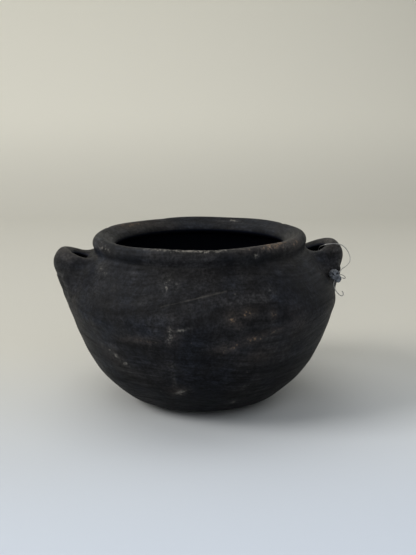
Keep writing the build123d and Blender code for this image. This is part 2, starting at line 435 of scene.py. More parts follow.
def bumped(layers):
    """The normal after layers of relief, each a pattern, its strength and its depth in metres."""
    normal = None
    for pattern, strength, depth in layers:
        inputs = {"Strength": strength, "Distance": depth, "Height": pattern}
        if normal is not None:
            inputs["Normal"] = normal
        normal = node(pattern.id_data, "ShaderNodeBump", inputs).outputs[0]
    return normal


# Colours of the clay: its two soots, clay under thin soot and clay rubbed bare, scuffs and their
# flakes, which also paint the highlights on the rim's crest, the scratch, lime specks and dark
# pits, the soot inside the pot, and near black painted shade in the wells.
blue_soot, brown_soot = (0.0069, 0.0079, 0.0106, 1), (0.0106, 0.0103, 0.0108, 1)
thin_soot, bare_clay = (0.065, 0.049, 0.039, 1), (0.193, 0.123, 0.071, 1)
# The scuff and flake greys also paint the highlights on the rim's crest.
scuff_and_highlight_grey, flake_and_highlight_grey = (0.108, 0.103, 0.095, 1), (0.185, 0.172, 0.151, 1)
scratch_grey, lime_speck = (0.092, 0.086, 0.077, 1), (0.131, 0.120, 0.102, 1)
pit_black, inside_soot = (0.0046, 0.0046, 0.0052, 1), (0.0071, 0.0086, 0.0154, 1)
# Painted shade for the wells, near black.
well_shade_black = (0.0005, 0.0005, 0.0007, 1)
clay_sheen, rubbed_sheen, rubbed_roughness = 0.090, 0.12, 0.12
# Heights over which the clay goes from darker and less glossy at the foot to full tone above.
darker_low_heights, darker_low_tones = (0.005, 0.125), (0.56, 1.05)


def smoked_clay():
    """Black smoked earthenware: soot in broad clouds of blue-black and brown-black, darker and less
    glossy towards the foot, burnishing strokes that follow the wall and come and go, fine grit,
    brown clay where the soot is rubbed off, pale flaking scuffs, painted highlights on the rim's
    crest, one long scratch, soot inside, and near black painted shade in the wells."""
    material, tree, place = bare_finish("smoked_clay")
    stroke_place = node(tree, "ShaderNodeAttribute", attribute_name="strokes").outputs["Vector"]
    scuffed_and_highlights, rubbed, scratch, soot_and_well_shade = (
        node(tree, "ShaderNodeAttribute", attribute_name=name).outputs["Fac"]
        for name in ("scuffed_and_highlights", "rubbed", "scratch", "soot_and_well_shade")
    )

    strokes = cloud(stroke_place, 1.0, 4.0, 0.66, (22, 22, 300))
    bands = cloud(stroke_place, 1.0, 3.0, 0.6, (12, 12, 70))
    clouds = cloud(place, 13.0)
    blotches = cloud(place, 40.0, 4.0, 0.62)
    mottle = cloud(place, 150.0, 6.0, 0.74)
    flakes = cloud(place, 420.0, 4.0, 0.7)
    grit = cloud(place, 1100.0, 3.0)

    # Soot, with its tone broken up by the strokes and patterns and darker towards the foot.
    soot = blended(between(clouds, 0.42, 0.62), blue_soot, brown_soot)
    stroke_depth = between(cloud(place, 21.0, 3.0), 0.38, 0.66, 0.15, 1.0)
    tone = times(between(strokes, 0.30, 0.72, -0.52, 0.72), stroke_depth)
    tone = sum_of(tone, 1.0)
    for pattern, low, high, darkest, palest in (
        (bands, 0.33, 0.67, 0.72, 1.32),
        (blotches, 0.34, 0.68, 0.76, 1.28),
        (mottle, 0.34, 0.68, 0.60, 1.58),
        (flakes, 0.34, 0.68, 0.58, 1.58),
    ):
        tone = times(tone, between(pattern, low, high, darkest, palest))
    height = node(tree, "ShaderNodeSeparateXYZ", {0: place}).outputs["Z"]
    height_tone = between(height, *darker_low_heights, *darker_low_tones)
    tone = times(tone, height_tone)
    toned = node(tree, "ShaderNodeVectorMath", {0: soot, "Scale": tone}, operation="SCALE")

    # Rubbed places, bare in spots, and scuffs that flake, whose colours also paint the rim's
    # highlights.
    broken = sum_of(sum_of(mottle, flakes), -1.0)
    worn = times(rubbed, between(broken, -0.22, 0.30, 0.05, 0.80))
    clay = blended(worn, toned.outputs[0], thin_soot)
    bare = sum_of(rubbed, times(broken, 1.9))
    clay = blended(between(bare, 0.82, 1.10, 0.0, 0.85), clay, bare_clay)
    scraped_and_highlights = times(scuffed_and_highlights, between(broken, -0.20, 0.32, 0.05, 0.60))
    clay = blended(scraped_and_highlights, clay, scuff_and_highlight_grey)
    flaked_and_highlights = sum_of(scuffed_and_highlights, times(broken, 1.8))
    flaked_and_highlights = between(flaked_and_highlights, 0.56, 0.92, 0.0, 0.72)
    flaked_and_highlights = times(flaked_and_highlights, between(scuffed_and_highlights, 0.02, 0.22))
    clay = blended(flaked_and_highlights, clay, flake_and_highlight_grey)

    # The scratch, of uneven width and strength.
    scratch_off = node(tree, "ShaderNodeMath", {0: scratch}, operation="ABSOLUTE").outputs[0]
    scratch_width = between(mottle, 0.38, 0.64, 0.6, 1.9)
    scratched = between(sum_of(scratch_off, scratch_width, "DIVIDE"), 0.0, 1.0, 0.40, 0.0)
    scratched = times(scratched, between(blotches, 0.40, 0.58, 0.25, 1.0))
    clay = blended(scratched, clay, scratch_grey)

    # Lime specks and pits, and then the soot inside and the near black painted shade in the wells.
    specks = node(tree, "ShaderNodeTexVoronoi", {"Vector": place, "Scale": 170.0})
    speck_size = between(specks.outputs["Distance"], 0.05, 0.16, 1.0, 0.0)
    speck_pick = between(specks.outputs["Color"], 0.84, 0.90)
    speck = times(times(speck_size, speck_pick), 0.4)
    clay = blended(speck, clay, lime_speck)
    pit_pick = between(specks.outputs["Color"], 0.12, 0.18, 0.7, 0.0)
    clay = blended(times(speck_size, pit_pick), clay, pit_black)
    clay = blended(between(soot_and_well_shade, 0.0, 1.0, 0.0, 0.9), clay, inside_soot)
    # Painted shade: the wells go near black, where the shadow falls deep.
    clay = blended(between(soot_and_well_shade, 1.0, 2.0), clay, well_shade_black)

    # Gloss and relief.
    roughness = between(strokes, 0.25, 0.75, 0.62, 0.46)
    roughness = sum_of(roughness, times(worn, rubbed_roughness))
    sheen = sum_of(times(rubbed, rubbed_sheen), clay_sheen)
    # Less sheen inside the pot, and almost none in the wells, to keep their painted shade dark.
    sheen = times(sheen, between(soot_and_well_shade, 0.5, 2.0, 1.0, 0.1))
    sheen = times(sheen, height_tone)
    relief = bumped(
        [
            (bands, 0.25, 0.0012),
            (strokes, 0.22, 0.0005),
            (mottle, 0.70, 0.0011),
            (flakes, 0.50, 0.0005),
            (grit, 0.20, 0.0002),
        ]
    )
    surface = {"Base Color": clay, "Roughness": roughness, "Specular IOR Level": sheen}
    shaded(tree, {**surface, "Normal": relief})
    return material


smoked = smoked_clay()
lower_bowl.data.materials.append(smoked)

# Shoulder wall: a ring of the same clay, closed in from the belly to the neck over the bowl's
# bevelled edge, smoothed with a wet hand so that the seam can't be seen, then burnished.
neck = (0.1070, 0.1560)
neck_hollow, neck_turn_in = 0.0060, 5
throat_out, throat_up, throat_slope = 0.0002, 0.0018, 84
neck_bevel, neck_seam_rows = np.array([-0.0037, 0.0033]), 6
edge_step = 0.0009
shoulder_start, shoulder_slope = on_belly(belly_upper_turn), 90 + belly_upper_turn
chord_slope = np.degrees(np.arctan2(neck[1] - shoulder_start[1], neck[0] - shoulder_start[0]))
neck_slope = 2 * chord_slope - shoulder_slope
hollow_slope = neck_slope - neck_turn_in
throat = (neck[0] + throat_out, neck[1] + throat_up)
into_neck = (
    neck[0] - neck_hollow * np.cos(np.radians(neck_slope)),
    neck[1] - neck_hollow * np.sin(np.radians(neck_slope)),
)
belly_top = run(on_belly(0), 90, shoulder_start, shoulder_slope)
outer_shoulder = joined(
    belly_top,
    run(shoulder_start, shoulder_slope, into_neck, hollow_slope),
    run(into_neck, hollow_slope, throat, throat_slope, edge_step),
)
inner_shoulder = joined(
    moved_in(belly_top, wall),
    moved_in(run(shoulder_start, shoulder_slope, neck, neck_slope), wall),
)
inner_shoulder = inner_shoulder[inner_shoulder[:, 1] > seam_inside[1]]
neck_inside = inner_shoulder[-1] + neck_bevel
shoulder_line = joined(
    outer_shoulder,
    np.linspace(outer_shoulder[-1], neck_inside, neck_seam_rows),
    np.concatenate([[neck_inside], inner_shoulder[::-2], [seam_inside]]),
    np.linspace(seam_inside, outer_shoulder[0], seam_rows)[:-1],
)
shoulder_grid = hand_worked(turned(shoulder_line))
shoulder_wear = wall_wear(shoulder_grid, np.arange(len(shoulder_line)) < len(outer_shoulder))
shoulder_strokes = strokes_round(shoulder_line)
shoulder_strokes[..., 2] += bowl_strokes[belly_row, 0, 2]
shoulder_wall = clay_piece(
    "shoulder_wall_clay",
    shoulder_grid.reshape(-1, 3),
    shoulder_strokes.reshape(-1, 3),
    ring_quads(len(shoulder_line), columns, True),
    [],
    {name: value.ravel() for name, value in shoulder_wear.items()},
    "shoulder_wall",
)
shoulder_wall.data.materials.append(smoked)

# Rim collar: a thick coil of clay turned out over the neck and pressed down inside, so that its
# top face falls towards the mouth. Its crest is rubbed and chipped by years of lids and ladles.
lip = (0.1091, 0.1640)
crest = (0.1021, 0.1720)
dish = (0.0940, 0.1684)
nose = (0.0857, 0.1611)
nose_under = (0.0884, 0.1573)
lip_slope, crest_slope, dish_slope, under_slope, joint_slope = 88, 184, 207, 318, 322
nose_arrive_slope, nose_leave_slope = 264, 262
dish_step, rows_under_nose = 0.0012, 12
chip_fall, chip_paleness, rim_sway = 0.8, 280, 0.2
outer_rim = joined(
    run(throat, throat_slope, lip, lip_slope, edge_step),
    run(lip, lip_slope, crest, crest_slope, edge_step),
    run(crest, crest_slope, dish, dish_slope, dish_step),
    run(dish, dish_slope, nose, nose_arrive_slope, edge_step),
    run(nose, nose_leave_slope, nose_under, under_slope, edge_step),
    run(nose_under, under_slope, neck_inside, joint_slope),
)
rim_line = joined(outer_rim, np.linspace(neck_inside, throat, neck_seam_rows)[:-1])
rim_grid = turned(rim_line)
# Chips, scuffs, painted highlights and rubbed places of the rim, given as the wall's are, but with
# a chip's depth in metres for its strength.
rim_chips = [
    (-113.0, 170.5, 3.0, 2.2, 0, 0.0007),
    (-106.5, 171.0, 5.0, 1.6, 0, 0.0006),
    (-97.0, 170.5, 3.5, 2.0, 0, 0.0008),
    (-90.5, 171.0, 2.5, 1.6, 0, 0.0006),
    (-71.0, 165.0, 2.5, 3.0, 0, 0.0007),
    (20.0, 170.5, 4.0, 2.0, 0, 0.0008),
    (105.0, 170.5, 6.0, 2.0, 0, 0.0007),
    (150.0, 171.0, 3.0, 2.0, 0, 0.0007),
]
rim_scuffs_and_highlights = [
    (-60.0, 170.5, 26.0, 3.5, 0, 0.45),
    (-45.0, 169.5, 16.0, 4.0, 0, 0.40),
    # Painted highlight: a thin pale line along the front crest, where the light catches it.
    (-100.0, 171.5, 60.0, 1.1, 0, 0.75),
    # The rim's left end: real pale streaks, painted paler still as the sheen that light gives it.
    (-158.0, 167.0, 22.0, 4.0, 0, 0.55),
    (172.0, 168.0, 18.0, 4.0, 0, 0.50),
    (-71.0, 165.0, 3.0, 3.0, 0, 0.70),
    (58.0, 169.5, 9.0, 1.4, 6, 0.50),
    (66.0, 169.0, 5.0, 1.2, 0, 0.40),
]
rim_rubs = [
    (-58.0, 171.0, 34.0, 4.5, 0, 0.95),
    (-40.0, 169.0, 18.0, 5.0, 0, 0.85),
    (-75.0, 171.0, 16.0, 2.4, 0, 0.55),
    (130.0, 170.5, 30.0, 4.0, 0, 0.80),
]
rim_on_top = (np.arange(len(rim_line)) < len(outer_rim) - rows_under_nose)[:, None]
chip_depth = wear_at(rim_grid, rim_chips) * rim_on_top
chip_way = np.stack([-rim_grid[..., 0], -rim_grid[..., 1], 0 * chip_depth], axis=-1)
chip_way /= np.linalg.norm(chip_way, axis=-1, keepdims=True)
chip_way[..., 2] = -chip_fall
rim_strokes = strokes_round(rim_line, rim_sway)
rim_strokes[..., 2] += shoulder_strokes[len(outer_shoulder) - 1, 0, 2]
rim_marks_and_highlights = {
    "scuffed_and_highlights": (wear_at(rim_grid, rim_scuffs_and_highlights) + chip_paleness * chip_depth) * rim_on_top,
    "rubbed": wear_at(rim_grid, rim_rubs) * rim_on_top,
    "scratch": out_of_reach + 0 * chip_depth,
    "soot_and_well_shade": 1 - rim_on_top + 0 * chip_depth,
}
rim_collar = clay_piece(
    "rim_collar_clay",
    hand_worked(rim_grid + chip_way * chip_depth[..., None]).reshape(-1, 3),
    rim_strokes.reshape(-1, 3),
    ring_quads(len(rim_line), columns, True),
    [],
    {name: value.ravel() for name, value in rim_marks_and_highlights.items()},
    "rim_collar",
)
rim_collar.data.materials.append(smoked)

# Ears: two lugs of clay pressed onto the shoulder and pulled up into leaning cups, each with a
# thumb well behind its crown and a cord hole pushed from the well's floor down and out through
# the lug with a stick, and smeared down onto the belly so that no joint shows.
lug_places = {
    "right_ear": (0.1219, 0.1383, np.radians(21.5)),
    "left_ear": (0.1190, 0.1405, np.radians(21.1)),
}
lug_radius, lug_widest = 0.0302, 0.0033
crown_radius, crown_height = 0.0240, 0.0128
well_radius, well_turn, well_floor, floor_radius = 0.0125, 0.0058, 0.0010, 0.0080
hole_start, hole_lean, hole_radius, hole_edge = 0.0058, np.radians(22), 0.0060, 0.0025
lug_stations = [
    ((0, -0.0366), 10),
    ((0.0087, -0.0318), 60),
    ((lug_radius, lug_widest), 92),
    ((crown_radius, crown_height), 178),
    ((well_radius, well_turn), 266),
    ((floor_radius, well_floor), 196),
]
skirt_stations = [((0.0098, -0.0375), 60), ((0.0196, -0.0275), 66), ((0.0256, -0.0080), 92)]
# How far the clay is melted: the toe, the flanks and the well into the wall, and the cup into
# the skirt, more so at its sides. The pairs are where, by side or height, one gives way to another.
toe_reach, well_reach, toe_heights = 0.0080, 0.0060, (-0.026, -0.004)
flank_reach, flank_sides = 0.0110, (0.008, 0.022)
cup_reach, side_reach, cup_sides, skirt_oval = 0.0040, 0.0180, (0.014, 0.028), 0.90
thumb_ripple = 0.0003
smear_width, smear_dive, clay_bite, neck_stop = 0.0100, 0.00035, 0.003, 0.1565
# Where the wells are painted near black as shade: distances from the lug's axis, and heights along
# it.
well_shade_radii = (well_radius + 0.0005, well_radius + 0.0060)
well_shade_top, well_shade_bottom = (crown_height - 0.0035, crown_height + 0.0002), (-0.0110, -0.0060)
crown_rub, crown_scuff, crown_heights = 0.45, 0.6, (0.146, 0.160)
ear_stroke_rise = 1.15
pot_line = joined(outer_lower, outer_shoulder)
past_axis, no_length = -0.02, 1e-12
section_step, section_low, section_count = 0.0004, np.array([-0.001, -0.062]), (150, 260)
net_step, net_low, net_count = 0.0008, np.array([0.0950, -0.0520, 0.0850]), (77, 131, 103)
skin_passes, skin_probe, skin_stride, least_steep = 3, 0.0003, 0.0004, 0.3


def section_table(stations):
    """Distance to a section's edge on a fine grid of radius and height, below 0 inside. The edge
    goes through the stations, and level past the axis at both ends. A point is inside if a level
    line from it crosses the edge an odd number of times."""
    line = drawn_through(stations)
    line = np.concatenate([[(past_axis, line[0, 1])], line, [(past_axis, line[-1, 1])]])
    cells = np.indices(section_count).transpose(1, 2, 0)[..., None, :]
    grid = section_low + section_step * cells
    ends = np.roll(line, -1, axis=0)
    edge = ends - line
    share = np.einsum("abij,ij->abi", grid - line, edge)
    share = share / np.maximum((edge**2).sum(axis=1), no_length)
    off = grid - line - np.clip(share, 0, 1)[..., None] * edge
    distance = np.sqrt((off**2).sum(axis=-1)).min(axis=-1)
    spans = (line[:, 1] > grid[..., 1]) != (ends[:, 1] > grid[..., 1])
    rise = np.where(np.abs(edge[:, 1]) < no_length, no_length, edge[:, 1])
    cross = line[:, 0] + (grid[..., 1] - line[:, 1]) / rise * edge[:, 0]
    inside = (spans & (cross > grid[..., 0])).sum(axis=-1) % 2 == 1
    return np.where(inside, -distance, distance)


def looked_up(table, radius, height):
    """A section table's value at any radius and height, straight between its four neighbours."""
    i = np.clip((radius - section_low[0]) / section_step, 0, table.shape[0] - 1.001)
    j = np.clip((height - section_low[1]) / section_step, 0, table.shape[1] - 1.001)
    a, b = i.astype(int), j.astype(int)
    i, j = i - a, j - b
    near = table[a, b] * (1 - j) + table[a, b + 1] * j
    return near * (1 - i) + (table[a + 1, b] * (1 - j) + table[a + 1, b + 1] * j) * i


def melted(first, second, reach):
    """The smaller of two distances, rounded over where they differ by less than reach."""
    share = np.maximum(reach - np.abs(first - second), 0) / reach
    return np.minimum(first, second) - share**2 * reach / 4


def above_wall(points):
    """How far points stand off the pot's outside: the step out in radius, times the cosine of
    the wall's slope there, which is taken over the next millimetre up."""
    step = 1 / millimetres
    radius = np.interp(points[..., 2], pot_line[:, 1], pot_line[:, 0])
    further = np.interp(points[..., 2] + step, pot_line[:, 1], pot_line[:, 0])
    outward = np.hypot(points[..., 0], points[..., 1]) - radius
    return outward / np.hypot(1, (further - radius) / step)


def on_lug(turn, radius, height, place):
    """A point round the lug's leaning axis: turn degrees from its outer side, height along it.
    Place is where the axis starts, out and up, and how far it leans."""
    start_out, start_up, lean = place
    out, side = radius * np.cos(np.radians(turn)), radius * np.sin(np.radians(turn))
    return np.array(
        [
            start_out + out * np.cos(lean) - height * np.sin(lean),
            side,
            start_up + out * np.sin(lean) + height * np.cos(lean),
        ]
    )


def from_lug(points, place):
    """Where points lie from the start of the lug's axis: across and up as the pot stands, to the
    side, and out and along as the axis leans."""
    across, side, up = points[..., 0] - place[0], points[..., 1], points[..., 2] - place[1]
    out = across * np.cos(place[2]) + up * np.sin(place[2])
    rise = up * np.cos(place[2]) - across * np.sin(place[2])
    return across, side, up, out, rise


cup_table, skirt_table = section_table(lug_stations), section_table(skirt_stations)


def ear_level(points, place):
    """Distance to one ear's skin, below 0 in the clay: a cup round the leaning axis melted into
    an upright skirt, with the cord hole taken out, melted into the wall, broadly at its flanks
    and less at its toe and well. The wall stands a hair lower here, so that the smear dives
    under it, and the clay stops 3 mm inside it, a little beyond the smear, and at the neck."""
    across, side, up, out, rise = from_lug(points, place)
    lug = melted(
        looked_up(cup_table, np.hypot(out, side), rise),
        looked_up(skirt_table, np.hypot(across, skirt_oval * side), up),
        cup_reach + (side_reach - cup_reach) * smooth_share(np.abs(side), *cup_sides),
    )
    lug = lug + thumb_ripple * np.sin(150 * side + 90 * up) * np.sin(170 * up - 60 * across + 0.8)
    start = on_lug(0, hole_start, well_floor, place)
    way = on_lug(0, np.sin(hole_lean), -np.cos(hole_lean), place) - on_lug(0, 0, 0, place)
    off = points - start
    off = off - (off @ way)[..., None] * way
    hole = np.linalg.norm(off, axis=-1) - hole_radius
    lug = -melted(-lug, hole, hole_edge)
    wall_off = above_wall(points)
    reach = toe_reach + (well_reach - toe_reach) * smooth_share(up, *toe_heights)
    reach = reach + (flank_reach - reach) * smooth_share(np.abs(side), *flank_sides)
    clay = melted(lug, wall_off + smear_dive, reach)
    beyond = np.maximum(lug - smear_width, np.minimum(points[..., 2] - neck_stop, lug))
    return np.maximum(np.maximum(clay, -(wall_off + clay_bite)), beyond)


def well_shade(points, place):
    """Painted shade: 2 in the well and the top of its cord hole, where the shadow falls, and 0
    outside, by the distance from the lug's axis and the height along it."""
    _, side, _, out, rise = from_lug(points, place)
    near = 1 - smooth_share(np.hypot(out, side), *well_shade_radii)
    below = 1 - smooth_share(rise, *well_shade_top)
    return 2 * near * below * smooth_share(rise, *well_shade_bottom)


def net_over(level):
    """A closed net of quads over the zero level of a box of values: one point in each cell that
    it crosses, at the mean of the crossings on the cell's edges, and one quad round each edge."""
    cells = np.array(level.shape) - 1
    rings, places = [], []
    for axis in range(3):
        ahead = np.roll(level, -1, axis)
        edge = np.argwhere((level < 0) != (ahead < 0))
        here, there = level[tuple(edge.T)], ahead[tuple(edge.T)]
        place = edge.astype(float)
        place[:, axis] += here / (here - there)
        side, other = np.eye(3, dtype=int)[[(axis + 1) % 3, (axis + 2) % 3]]
        ring = np.stack([edge, edge - side, edge - side - other, edge - other])
        ring = np.ravel_multi_index(np.moveaxis(ring, -1, 0), cells).T
        rings.append(np.where((here < 0)[:, None], ring, ring[:, ::-1]))
        places.append(np.repeat(place, 4, axis=0))
    rings, places = np.concatenate(rings), np.concatenate(places)
    _, number = np.unique(rings, return_inverse=True)
    number = number.reshape(rings.shape)
    sums = np.stack([np.bincount(number.ravel(), places[:, k]) for k in range(3)], axis=1)
    return sums / np.bincount(number.ravel())[:, None], number


def ear_net(place):
    """The ear's net, whose points are then moved down the slope of the level onto its skin."""
    box = net_low + net_step * np.indices(net_count).transpose(1, 2, 3, 0)
    points, quads = net_over(ear_level(box, place))
    points = net_low + net_step * points
    probes = np.eye(3) * skin_probe
    for _ in range(skin_passes):
        level = ear_level(points, place)
        slope = [ear_level(points + p, place) - ear_level(points - p, place) for p in probes]
        slope = np.stack(slope, axis=-1) / (2 * skin_probe)
        steep = np.maximum((slope**2).sum(axis=-1, keepdims=True), least_steep)
        points = points - np.clip(level, -skin_stride, skin_stride)[:, None] * slope / steep
    return points, quads


for ear_name, hand in (("right_ear", 1), ("left_ear", -1)):
    ear_points, ear_quads = ear_net(lug_places[ear_name])
    ear_well_shade = well_shade(ear_points, lug_places[ear_name])
    ear_points = hand_worked(ear_points * np.array([hand, 1, 1]))
    ear_angle = np.arctan2(ear_points[:, 1], ear_points[:, 0])
    ear_along = shoulder_strokes[0, 0, 2] + (ear_points[:, 2] - belly_height) * ear_stroke_rise
    ear_round = [belly_radius * np.cos(ear_angle), belly_radius * np.sin(ear_angle)]
    ear_strokes = np.stack([*ear_round, ear_along], axis=1)
    ear_rub = smooth_share(ear_points[:, 2], *crown_heights) * crown_rub
    ear_marks_and_well_shade = {
        "scuffed_and_highlights": np.maximum(wear_at(ear_points, pale_scuffs), crown_scuff * ear_rub),
        "rubbed": np.maximum(wear_at(ear_points, rubbed_patches), ear_rub),
        "scratch": out_of_reach,
        "soot_and_well_shade": ear_well_shade,
    }
    ear_piece = ear_name + "_clay"
    ear = clay_piece(ear_piece, ear_points, ear_strokes, ear_quads, [], ear_marks_and_well_shade, ear_name)
    ear.data.materials.append(smoked)

# Tie wire: one length of thin galvanised wire, pushed up the right ear's cord hole by hand, bent
# over the crown and into the seal, its end left over as a curled tail. It keeps its bends.
wire_radius, wire_sides, wire_steps = 0.0004, 10, 8
tag_place = lug_places["right_ear"]
seal_right = np.array([np.cos(photo_turn), -np.sin(photo_turn), 0])
seal_front = np.array([-np.sin(photo_turn), -np.cos(photo_turn), 0])
seal_up = np.array([0, 0, 1])


def by_lug(turn, radius, height):
    """A point near the right ear, on the lug as it was pressed out of true."""
    return hand_worked(on_lug(turn, radius, height, tag_place))


seal_centre = by_lug(-83, lug_radius + 0.0099, -0.0115)


def on_seal(right, up, front):
    """A point given in millimetres from the middle of the seal."""
    return seal_centre + (seal_right * right + seal_up * up + seal_front * front) / millimetres


wire_route = np.array(
    [
        on_seal(1.4, -1.4, -0.4),
        on_seal(2.0, -1.8, -6.0),
        by_lug(-62, lug_radius - 0.0010, -0.0168),
        by_lug(-44, lug_radius - 0.0045, -0.0225),
        by_lug(-24, lug_radius - 0.0070, -0.0275),
        by_lug(-6, lug_radius - 0.0085, -0.0305),
        by_lug(-2, lug_radius - 0.0122, -0.0275),
        by_lug(-2, well_radius + 0.0015, -0.0185),
        by_lug(-3, well_radius - 0.0025, -0.0090),
        by_lug(-6, well_radius - 0.0060, 0.0005),
        by_lug(-30, well_radius - 0.0060, 0.0075),
        by_lug(-54, well_radius - 0.0010, crown_height - 0.0003),
        by_lug(-58, well_radius + 0.0050, crown_height + 0.0012),
        by_lug(-54, crown_radius, crown_height + 0.00185),
        by_lug(-42, lug_radius - 0.00045, crown_height - 0.0008),
        by_lug(-28, lug_radius + 0.00195, lug_widest + 0.00395),
        by_lug(-17, lug_radius + 0.0036, lug_widest - 0.0013),
        by_lug(-20, lug_radius + 0.0054, -0.0045),
        by_lug(-34, lug_radius + 0.0066, -0.0095),
        by_lug(-52, lug_radius + 0.0074, -0.0105),
        on_seal(4.9, 6.4, 0.9),
        on_seal(-1.3, -5.4, 0.9),
        on_seal(-2.0, -10.0, 3.2),
        on_seal(0.6, -15.0, 4.2),
        on_seal(4.0, -19.2, 3.6),
        on_seal(7.6, -20.6, 3.0),
        on_seal(8.6, -17.6, 2.8),
        on_seal(6.9, -15.4, 2.8),
    ]
)


def bent_line(route):
    """A smooth line along a route: parabolas from mid-run to mid-run, each drawn to its corner,
    with the two ends of the route kept."""
    mids = (route[:-1] + route[1:]) / 2
    starts = np.concatenate([route[:1], mids[1:-1]])
    stops = np.concatenate([mids[1:-1], route[-1:]])
    corners = route[1:-1]
    q = np.linspace(0, 1, wire_steps, endpoint=False)[None, :, None]
    curve = (1 - q) ** 2 * starts[:, None] + 2 * q * (1 - q) * corners[:, None]
    curve = curve + q**2 * stops[:, None]
    return np.concatenate([curve.reshape(-1, 3), route[-1:]])


def tube_grid(line, radius, sides):
    """Rings round a line. Each ring lies square to the line, and its first spoke is the last
    ring's first spoke with the part along the line taken out, so the tube doesn't twist."""
    way = np.gradient(line, axis=0)
    way /= np.linalg.norm(way, axis=1, keepdims=True)
    spokes = np.empty_like(line)
    slanting = [0.3, 0.2, 1.0]
    spoke = np.cross(way[0], slanting)
    for i, ahead in enumerate(way):
        spoke = spoke - ahead * (spoke @ ahead)
        spoke = spoke / np.linalg.norm(spoke)
        spokes[i] = spoke
    across = np.cross(way, spokes)
    angle = np.linspace(0, 2 * np.pi, sides, endpoint=False)[None, :, None]
    ring = np.cos(angle) * spokes[:, None] + np.sin(angle) * across[:, None]
    return line[:, None] + radius * ring


def tag_piece(name, points, quads, triangles, node_name):
    """A piece that stands for a node and hangs on the tag."""
    piece = in_scene(name, mesh_of(name, points, quads, triangles))
    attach(piece, "tag")
    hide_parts(node_name)
    return piece


zinc_dark, zinc_pale = (0.250, 0.250, 0.245, 1), (0.500, 0.490, 0.475, 1)
rust_brown = (0.308, 0.169, 0.092, 1)


def galvanised_wire():
    """Dull zinc over iron: grey metal with cloudy patches, and a little rust in the clouds."""
    material, tree, place = bare_finish("galvanised_wire")
    clouds = cloud(place, 420.0, 4.0, 0.5)
    zinc = blended(between(clouds, 0.35, 0.65), zinc_dark, zinc_pale)
    rusted = between(clouds, 0.62, 0.74, 0.0, 0.7)
    shaded(
        tree,
        {
            "Base Color": blended(rusted, zinc, rust_brown),
            "Metallic": 0.75,
            "Roughness": between(clouds, 0.3, 0.7, 0.34, 0.55),
            "Normal": bumped([(clouds, 0.3, 0.0001)]),
        },
    )
    return material


wire_line = bent_line(wire_route)
wire_rings = tube_grid(wire_line, wire_radius, wire_sides)
wire = tag_piece(
    "tie_wire_bent",
    np.concatenate([wire_rings.reshape(-1, 3), wire_line[[0, -1]]]),
    ring_quads(len(wire_rings), wire_sides, False),
    end_fans(len(wire_rings), wire_sides),
    "tie_wire",
)
wire.data.materials.append(galvanised_wire())

# Lead seal: two soft lead pellets squeezed together over the wire with pliers, so they run into
# one lump with flattened faces, two small eyes in the larger one, and a dull grey skin.
pellet_sizes = np.array([[5.2, 5.3, 3.3], [3.4, 3.6, 2.5]])
pellet_places = np.array([[-1.2, 1.2, 0.0], [2.8, -3.4, 0.0]])
pellet_square, pellet_bond = 3.2, 5
seal_heart, seal_reach, halvings = np.array([0.7, -0.5, 0.0]), 14.0, 40
eye_places, eye_radius, eye_depth = np.array([[-3.2, 1.8], [1.4, 2.6]]), 1.0, 2.2
lump_depths, lump_radius = (0.16, 0.10), 5
crease_depth, crease_width, crease_way, crease_off = 0.35, 0.5, (0.55, 0.83), 0.4
seal_rows, seal_columns = 72, 120
lead_dark, lead_pale = (0.046, 0.051, 0.060, 1), (0.172, 0.183, 0.202, 1)


def pellet_field(points):
    """How deep points lie in the squeezed lead, over 1 inside: for each pellet a rounded box
    norm, 1 on its skin, makes a falling exponential, and the pellets' values are added."""
    scaled = np.abs(points[..., None, :] - pellet_places) / pellet_sizes
    flat = np.hypot(scaled[..., 0], scaled[..., 1])
    norm = (flat**pellet_square + scaled[..., 2] ** pellet_square) ** (1 / pellet_square)
    return np.exp(pellet_bond * (1 - norm)).sum(axis=-1)


def seal_surface():
    """The lump's skin seen from its heart: along each direction of a globe, the distance at
    which the field falls to 1, found by halving. Sines make it lumpy, and bells press the two
    eyes and the pliers' crease into its face."""
    polar = np.linspace(0, np.pi, seal_rows + 2)[1:-1, None]
    around = np.linspace(0, 2 * np.pi, seal_columns, endpoint=False)
    sideways = [np.sin(polar) * np.cos(around), np.sin(polar) * np.sin(around)]
    way = np.stack([*sideways, np.cos(polar) + 0 * around], axis=-1)
    way = np.concatenate([way.reshape(-1, 3), [[0, 0, 1], [0, 0, -1]]])
    near, far = np.zeros(len(way)), np.full(len(way), seal_reach)
    for _ in range(halvings):
        half = (near + far) / 2
        inside = pellet_field(seal_heart + half[:, None] * way) > 1
        near, far = np.where(inside, half, near), np.where(inside, far, half)
    skin = seal_heart + near[:, None] * way
    right, up, on_face = skin[:, 0], skin[:, 1], skin[:, 2] > 0
    lumps = lump_depths[0] * np.sin(right * 1.9 + 0.8) * np.sin(up * 2.3)
    lumps = lumps + lump_depths[1] * np.sin(right * 3.7 - up * 2.9)
    from_eyes = np.linalg.norm(skin[:, None, :2] - eye_places, axis=-1).min(axis=1)
    eye = np.exp(-((from_eyes / eye_radius) ** 4)) * on_face
    from_crease = right * crease_way[0] + up * crease_way[1] + crease_off
    crease = crease_depth * np.exp(-((from_crease / crease_width) ** 2)) * on_face
    skin += way * (lumps * (near / lump_radius))[:, None]
    skin[:, 2] -= eye_depth * eye + crease
    return skin


def soft_lead():
    """Old lead: dark grey metal under a matt bluish skin, paler where it was squeezed."""
    material, tree, place = bare_finish("soft_lead")
    skin = cloud(place, 380.0, 5.0, 0.65)
    fine = cloud(place, 1500.0, 3.0, 0.5)
    shaded(
        tree,
        {
            "Base Color": blended(between(skin, 0.35, 0.68), lead_dark, lead_pale),
            "Metallic": 0.35,
            "Roughness": between(skin, 0.3, 0.7, 0.62, 0.45),
            "Normal": bumped([(skin, 0.5, 0.0004), (fine, 0.3, 0.0001)]),
        },
    )
    return material


